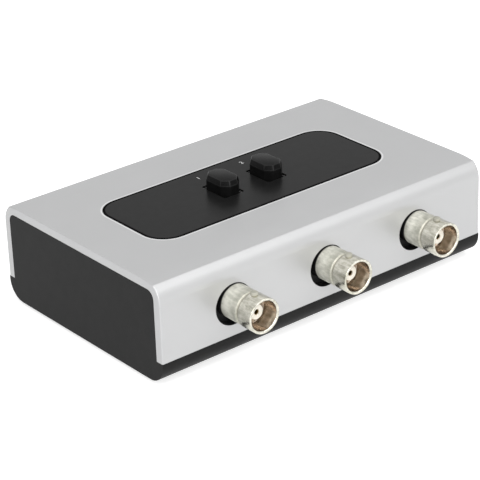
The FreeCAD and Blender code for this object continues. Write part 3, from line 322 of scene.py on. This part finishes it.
MATERIALS = {
    "silver_paint": silver_paint(),
    "nickel": nickel(),
    "case_plastic": simple("case_plastic", grey(0.006), grey(0.008), 0.12 * MM, 0.50,
                           depth=0.02 * MM, specular=0.13),
    "label_film": label_film(),
    "cap_plastic": simple("cap_plastic", grey(0.004), grey(0.006), 0.10 * MM, 0.30,
                          depth=0.008 * MM, specular=0.06),
    "white_insulator": simple("white_insulator", (0.86, 0.82, 0.72), (0.90, 0.87, 0.78),
                              0.10 * MM, 0.38),
    "contact_brass": simple("contact_brass", (0.42, 0.29, 0.11), (0.52, 0.38, 0.16),
                            0.08 * MM, 0.28, 1.0),
    "tinned_pin": simple("tinned_pin", (0.55, 0.53, 0.50), (0.68, 0.66, 0.62),
                         0.08 * MM, 0.30, 1.0),
    "housing_plastic": simple("housing_plastic", grey(0.006), grey(0.009), 0.12 * MM, 0.55,
                              depth=0.01 * MM, specular=0.2),
    "switch_plastic": simple("switch_plastic", grey(0.012), grey(0.016), 0.12 * MM, 0.45),
    "plunger_plastic": simple("plunger_plastic", (0.62, 0.61, 0.56), (0.68, 0.67, 0.62),
                              0.12 * MM, 0.42),
    "spring_steel": simple("spring_steel", grey(0.42), grey(0.52), 0.06 * MM, 0.30, 1.0),
    "sheet_steel": simple("sheet_steel", (0.50, 0.50, 0.47), (0.60, 0.60, 0.58),
                          0.10 * MM, 0.34, 1.0),
    "board_laminate": simple("board_laminate", (0.02, 0.12, 0.04), (0.03, 0.15, 0.05),
                             0.20 * MM, 0.35),
    "screw_steel": simple("screw_steel", grey(0.45), grey(0.58), 0.08 * MM, 0.30, 1.0),
    "foot_rubber": simple("foot_rubber", grey(0.012), grey(0.017), 0.12 * MM, 0.70,
                          depth=0.02 * MM),
}
MARK_INK = simple("mark_ink", grey(0.75), grey(0.85), 0.05 * MM, 0.5)
SHADED_BORE = dull_bore()
LUG_METAL = simple("lug_metal", (0.34, 0.33, 0.28), (0.46, 0.45, 0.39), 0.08 * MM, 0.70, 0.5)
# painted highlight: the caps' rounded top edges are lighter, and glossier, than the rest of the
# cap
CAP_EDGE_HIGHLIGHT = simple("cap_edge", grey(0.008), grey(0.014), 0.06 * MM, 0.28, specular=0.14)

for part in frame["record"]["subparts"]:
    mesh = frame["nodes"][part["node"]].data
    mesh.materials.clear()
    mesh.materials.append(MATERIALS[part["material_slot"]])


# ---------------------------------------------------------------- making pieces
def finished(name, mesh, body, slot=None, nodes=(), angle=32, material=None):
    """Turn a mesh into a piece, with smooth faces between sharp edges and a body to ride on."""
    thing = link(bpy.data.objects.new(name, mesh))
    mesh.polygons.foreach_set("use_smooth", [True] * len(mesh.polygons))
    mesh.set_sharp_from_angle(angle=math.radians(angle))
    mesh.materials.append(material or MATERIALS[slot])
    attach(thing, body)
    if nodes:
        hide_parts(*nodes)
    return thing


def rounded(points, radius=0.12, steps=3):
    """Round the corners of a closed profile in millimetres; a point may bring its own radius."""
    out = []
    count = len(points)
    for i, point in enumerate(points):
        here = Vector(point[:2])
        before = Vector(points[i - 1][:2]) - here
        after = Vector(points[(i + 1) % count][:2]) - here
        cut = point[2] if len(point) > 2 else radius
        cut = min(cut, before.length * 0.45, after.length * 0.45)
        if cut < 0.01 or before.angle(after, 0) > math.radians(176):
            out.append(here)
            continue
        start = here + before.normalized() * cut
        end = here + after.normalized() * cut
        for k in range(steps + 1):
            t = k / steps
            out.append(start * (1 - t) ** 2 + here * (2 * t * (1 - t)) + end * t ** 2)
    return out


def lathe(bm, profile, centre, turns=96):
    """Turn a closed profile of (radius, distance towards -Y), in millimetres, about Y."""
    rings = []
    for k in range(turns):
        angle = 2 * math.pi * k / turns
        rings.append([bm.verts.new((centre[0] + p[0] * MM * math.cos(angle),
                                    centre[1] - p[1] * MM,
                                    centre[2] + p[0] * MM * math.sin(angle))) for p in profile])
    count = len(profile)
    for k in range(turns):
        a, b = rings[k], rings[(k + 1) % turns]
        for i in range(count):
            j = (i + 1) % count
            bm.faces.new((a[i], b[i], b[j], a[j]))


def to_mesh(bm, name):
    """Close a bmesh into a mesh with merged points and outward normals."""
    bmesh.ops.remove_doubles(bm, verts=bm.verts, dist=1e-7)
    bmesh.ops.recalc_face_normals(bm, faces=bm.faces)
    mesh = bpy.data.meshes.new(name)
    bm.to_mesh(mesh)
    bm.free()
    return mesh


# ---------------------------------------------------------------- jacks, in millimetres
# Distances in front of the cover
REACH = 11.65
BORE_END = REACH - 5.4
LUG_AT = REACH - 3.85
TAIL_FRONT = -2.6
TAIL_END = -10.2
# Radii
SLEEVE = 4.85
BORE = 4.08
GROOVE = 4.40
ROOT = 4.75
TAIL = 4.50
INSULATOR_HOLE = 2.42
LUG_RADIUS = 1.0
# Heights of a lug from the jack's axis
LUG_FOOT = 4.3
LUG_TOP = SLEEVE + 0.7


def dome(bm, centre, side):
    """A bayonet lug: a short post with a rounded top, standing on the sleeve along Z."""
    turns = 32
    levels = [(LUG_RADIUS, LUG_FOOT), (LUG_RADIUS, LUG_TOP - 0.25), (0.95, LUG_TOP - 0.12),
              (0.84, LUG_TOP - 0.04), (0.66, LUG_TOP - 0.005), (0.35, LUG_TOP)]
    rings = []
    for radius, height in levels:
        ring = []
        for k in range(turns):
            angle = 2 * math.pi * k / turns
            ring.append(bm.verts.new((centre[0] + radius * MM * math.cos(angle),
                                      centre[1] + radius * MM * math.sin(angle),
                                      centre[2] + side * height * MM)))
        rings.append(ring)
    for a, b in zip(rings, rings[1:]):
        for k in range(turns):
            j = (k + 1) % turns
            bm.faces.new((a[k], a[j], b[j], b[k]))
    bm.faces.new(rings[-1])
    bm.faces.new(rings[0])


# Profiles: radius, distance in front of the cover, radius of the corner if it has its own
SHELL = [
    (INSULATOR_HOLE, TAIL_END), (TAIL, TAIL_END), (TAIL, TAIL_FRONT), (ROOT, TAIL_FRONT),
    (ROOT, 5.70, 0.15), (GROOVE, 6.00, 0.1), (GROOVE, 6.40, 0.1), (SLEEVE, 6.70, 0.15),
    (SLEEVE, REACH, 0.18), (BORE + 0.25, REACH, 0.12), (BORE, REACH - 0.25, 0.12),
    (BORE, BORE_END, 0.3), (INSULATOR_HOLE, BORE_END)]
CONTACT_HOLE = 1.07
MOUTH = 0.78
BODY = 2.40
NOSE = 2.05
NOSE_FRONT = REACH - 3.1
MOUTH_END = NOSE_FRONT - 0.38
INSULATOR = [
    (CONTACT_HOLE, TAIL_END), (BODY, TAIL_END), (BODY, BORE_END), (NOSE, BORE_END + 0.2, 0.1),
    (NOSE, NOSE_FRONT, 0.25), (MOUTH, NOSE_FRONT, 0.12), (MOUTH, MOUTH_END),
    (CONTACT_HOLE, MOUTH_END)]


def finish_shell(shell, seat):
    """Give the bore, painted darker for the shade inside it, and the lugs of a shell their own
    materials.
    """
    shell.data.materials.append(SHADED_BORE)
    shell.data.materials.append(LUG_METAL)
    for face in shell.data.polygons:
        across = (face.center.x - seat[0]) / MM
        ahead = (seat[1] - face.center.y) / MM
        radius = math.hypot(across, (face.center.z - seat[2]) / MM)
        if radius < BORE + 0.03 and BORE_END - 0.02 < ahead < REACH - 0.2:
            face.material_index = 1
        if math.hypot(across, ahead - LUG_AT) < LUG_RADIUS + 0.02 and radius > LUG_FOOT - 0.1:
            face.material_index = 2


for k, jack in enumerate(JACKS, start=1):
    seat = (jack.x, COVER_LOW.y, jack.z)
    bm = bmesh.new()
    lathe(bm, rounded(SHELL), seat)
    for side in (-1, 1):
        dome(bm, (jack.x, COVER_LOW.y - LUG_AT * MM, jack.z), side)
    name = "shell_%d" % k
    finish_shell(finished(name, to_mesh(bm, name), "case", "nickel", ["jack_" + name]), seat)
    bm = bmesh.new()
    lathe(bm, rounded(INSULATOR, 0.05), seat, 64)
    name = "insulator_%d" % k
    finished(name, to_mesh(bm, name), "case", "white_insulator", ["jack_" + name])


# ---------------------------------------------------------------- buttons, in millimetres
CAP_HALF = (3.3, 4.95)      # half the cap along X and Y
CAP_CORNER = 1.95           # cut off each corner
BEVEL_IN = 0.42             # the bevel round the top, inwards and down
BEVEL_DOWN = 1.5
CAP_SOFTNESS = 0.16         # rounding of the edges


def octagon(inset):
    """The cap's outline with every side moved inwards by the same distance."""
    x, y = (half - inset for half in CAP_HALF)
    corner = CAP_CORNER - inset * (2 - math.sqrt(2))
    return [(-x + corner, -y), (x - corner, -y), (x, -y + corner), (x, y - corner),
            (x - corner, y), (-x + corner, y), (-x, y - corner), (-x, -y + corner)]


for k, cap in enumerate(CAPS, start=1):
    low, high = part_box("button_cap_%d" % k)
    bm = bmesh.new()
    rings = []
    for inset, z in ((0, low[2]), (0, high[2] - BEVEL_DOWN * MM), (BEVEL_IN, high[2])):
        rings.append([bm.verts.new((cap.x + x * MM, cap.y + y * MM, z))
                      for x, y in octagon(inset)])
    for a, b in zip(rings, rings[1:]):
        for i in range(8):
            bm.faces.new((a[i], a[(i + 1) % 8], b[(i + 1) % 8], b[i]))
    bm.faces.new(rings[-1])
    bm.faces.new(rings[0])
    soft = bmesh.ops.bevel(bm, geom=bm.edges[:], offset=CAP_SOFTNESS * MM, segments=3,
                           affect="EDGES", profile=0.5)
    # painted highlight: the rounded edges round the top and the bevel get the lighter, glossier
    # edge material
    for face in soft["faces"]:
        if face.calc_center_median().z > high[2] - BEVEL_DOWN * 1.15 * MM:
            face.material_index = 1
    name = "cap_%d" % k
    piece = finished(name, to_mesh(bm, name), "button_%d" % k, "cap_plastic", ["button_" + name],
                     angle=24)
    piece.data.materials.append(CAP_EDGE_HIGHLIGHT)


# ---------------------------------------------------------------- springs
def spring(name, node, along, coil_radius, wire, turns, body):
    """A coil of round wire in the place of the node."""
    low, high = (Vector(corner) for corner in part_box(node))
    centre = (low + high) / 2
    axis = Vector((1, 0, 0)) if along == "x" else Vector((0, 0, 1))
    side = Vector((0, 0, -1)) if along == "x" else Vector((1, 0, 0))
    third = axis.cross(side)
    length = abs((high - low).dot(axis)) - 2 * wire
    steps = int(turns * 28)
    around = 10
    bm = bmesh.new()
    rings = []
    for s in range(steps + 1):
        t = s / steps
        angle = 2 * math.pi * turns * t
        out = side * math.cos(angle) + third * math.sin(angle)
        spot = centre + axis * (t - 0.5) * length + out * coil_radius
        rings.append([bm.verts.new(spot + (out * math.cos(a) + axis * math.sin(a)) * wire)
                      for a in (2 * math.pi * i / around for i in range(around))])
    for a, b in zip(rings, rings[1:]):
        for i in range(around):
            j = (i + 1) % around
            bm.faces.new((a[i], a[j], b[j], b[i]))
    bm.faces.new(rings[0])
    bm.faces.new(rings[-1])
    thing = finished(name, to_mesh(bm, name), body, "spring_steel", [node])
    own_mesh(thing)


for k in (1, 2):
    spring("return_coil_%d" % k, "return_spring_%d" % k, "z", 1.9 * MM, 0.22 * MM, 4.5, "case")
spring("latch_coil", "latch_spring", "x", 0.72 * MM, 0.13 * MM, 4.5, "case")


# ---------------------------------------------------------------- marks on the label
def mark(name, text, place, height):
    """A plain printed number lying on the label, upright for someone in front of the jacks."""
    curve = bpy.data.curves.new(name + "_text", "FONT")
    curve.body = text
    curve.size = height * 1.4
    curve.extrude = 0.008 * MM
    curve.align_x = "CENTER"
    curve.align_y = "CENTER"
    source = link(bpy.data.objects.new(name + "_text", curve))
    bpy.context.view_layer.update()
    graph = bpy.context.evaluated_depsgraph_get()
    mesh = bpy.data.meshes.new_from_object(source.evaluated_get(graph))
    mesh.name = name
    mesh.transform(Matrix.Translation(place))
    mesh.materials.clear()
    bpy.data.objects.remove(source)
    finished(name, mesh, "case", material=MARK_INK)


MARK_HEIGHT = 1.5           # millimetres
MARK_SHIFT = (-0.35, 10.2)  # from the middle of its cap along X and Y
for k, cap in enumerate(CAPS, start=1):
    place = Vector((cap.x + MARK_SHIFT[0] * MM, cap.y + MARK_SHIFT[1] * MM, LABEL_HIGH.z))
    mark("mark_%d" % k, str(k), place, MARK_HEIGHT * MM)


# ---------------------------------------------------------------- camera, floor and light
# The camera's pose and focal length were solved from the photograph's straight edges.
YAW, PITCH, ROLL = (math.radians(v) for v in (38.572, 25.734, 2.049))
CAMERA_PLACE = (-0.32194, -0.39491, 0.25955)
FOCAL_PIXELS = 2065.621
PHOTO_WIDTH = 480.0
SENSOR = 36.0
flat = math.cos(PITCH)
forward = Vector((math.sin(YAW) * flat, math.cos(YAW) * flat, -math.sin(PITCH)))
level = Vector((math.cos(YAW), -math.sin(YAW), 0))
down = forward.cross(level)
right = level * math.cos(ROLL) + down * math.sin(ROLL)
low = down * math.cos(ROLL) - level * math.sin(ROLL)
camera = bpy.data.objects.new("camera", bpy.data.cameras.new("camera"))
camera.data.sensor_width = SENSOR
camera.data.sensor_fit = "HORIZONTAL"
camera.data.lens = SENSOR * FOCAL_PIXELS / PHOTO_WIDTH
camera.data.clip_start = 0.01
turn = Matrix((right, -low, -forward)).transposed().to_4x4()
camera.matrix_world = Matrix.Translation(CAMERA_PLACE) @ turn
bpy.context.scene.camera = link(camera)

FLOOR_HALF = 6.0            # metres
FLOOR_GREY = 0.80
FLOOR_GLOW = 0.62           # added only where a seen ray meets the floor
WORLD_LIGHT = 0.42          # what the white world gives to the object


def seen_rays(tree):
    """1 for camera, glossy and transmission rays, 0 for the rays that light the object."""
    path = tree.nodes.new("ShaderNodeLightPath")
    total = path.outputs["Is Camera Ray"]
    for name in ("Is Glossy Ray", "Is Transmission Ray"):
        node = tree.nodes.new("ShaderNodeMath")
        node.operation = "MAXIMUM"
        tree.links.new(total, node.inputs[0])
        tree.links.new(path.outputs[name], node.inputs[1])
        total = node.outputs["Value"]
    return total


def by_ray(tree, lighting, seen, socket):
    """Drive a strength with one value for lighting rays and another for seen rays."""
    node = tree.nodes.new("ShaderNodeMapRange")
    node.inputs["To Min"].default_value = lighting
    node.inputs["To Max"].default_value = seen
    tree.links.new(seen_rays(tree), node.inputs["Value"])
    tree.links.new(node.outputs["Result"], socket)


floor_paint = bpy.data.materials.new("floor")
floor_paint.use_nodes = True
tree = floor_paint.node_tree
tree.nodes.clear()
diffuse = tree.nodes.new("ShaderNodeBsdfDiffuse")
diffuse.inputs["Color"].default_value = (*grey(FLOOR_GREY), 1)
glow = tree.nodes.new("ShaderNodeEmission")
by_ray(tree, 0.0, FLOOR_GLOW, glow.inputs["Strength"])
both = tree.nodes.new("ShaderNodeAddShader")
tree.links.new(diffuse.outputs[0], both.inputs[0])
tree.links.new(glow.outputs[0], both.inputs[1])
tree.links.new(both.outputs[0], tree.nodes.new("ShaderNodeOutputMaterial").inputs["Surface"])
sheet = bmesh.new()
bmesh.ops.create_grid(sheet, x_segments=1, y_segments=1, size=FLOOR_HALF)
floor_mesh = bpy.data.meshes.new("floor")
sheet.to_mesh(floor_mesh)
sheet.free()
floor_mesh.materials.append(floor_paint)
link(bpy.data.objects.new("floor", floor_mesh))

world = bpy.data.worlds.new("studio")
bpy.context.scene.world = world
world.use_nodes = True
tree = world.node_tree
background = tree.nodes["Background"]
background.inputs["Color"].default_value = (1, 1, 1, 1)
by_ray(tree, WORLD_LIGHT, 1.0, background.inputs["Strength"])

AIM = Vector((0, 0, 0.01))


def lamp(name, place, size, power):
    """A rectangular lamp that points at the object; size in metres, power in watts."""
    data = bpy.data.lights.new(name, "AREA")
    data.shape = "RECTANGLE"
    data.size, data.size_y = size
    data.energy = power
    thing = link(bpy.data.objects.new(name, data))
    thing.location = place
    thing.rotation_euler = (AIM - Vector(place)).to_track_quat("-Z", "Y").to_euler()


lamp("key", (0.28, -0.64, 0.76), (0.80, 0.80), 3.1)
lamp("front", (-0.42, -1.06, 0.45), (0.9, 0.6), 7.0)
lamp("fill", (-0.9, -0.2, 0.7), (0.6, 0.6), 2.5)
lamp("top", (-0.30, -0.35, 0.90), (0.5, 0.5), 2.0)

bpy.context.scene.view_settings.view_transform = "Standard"
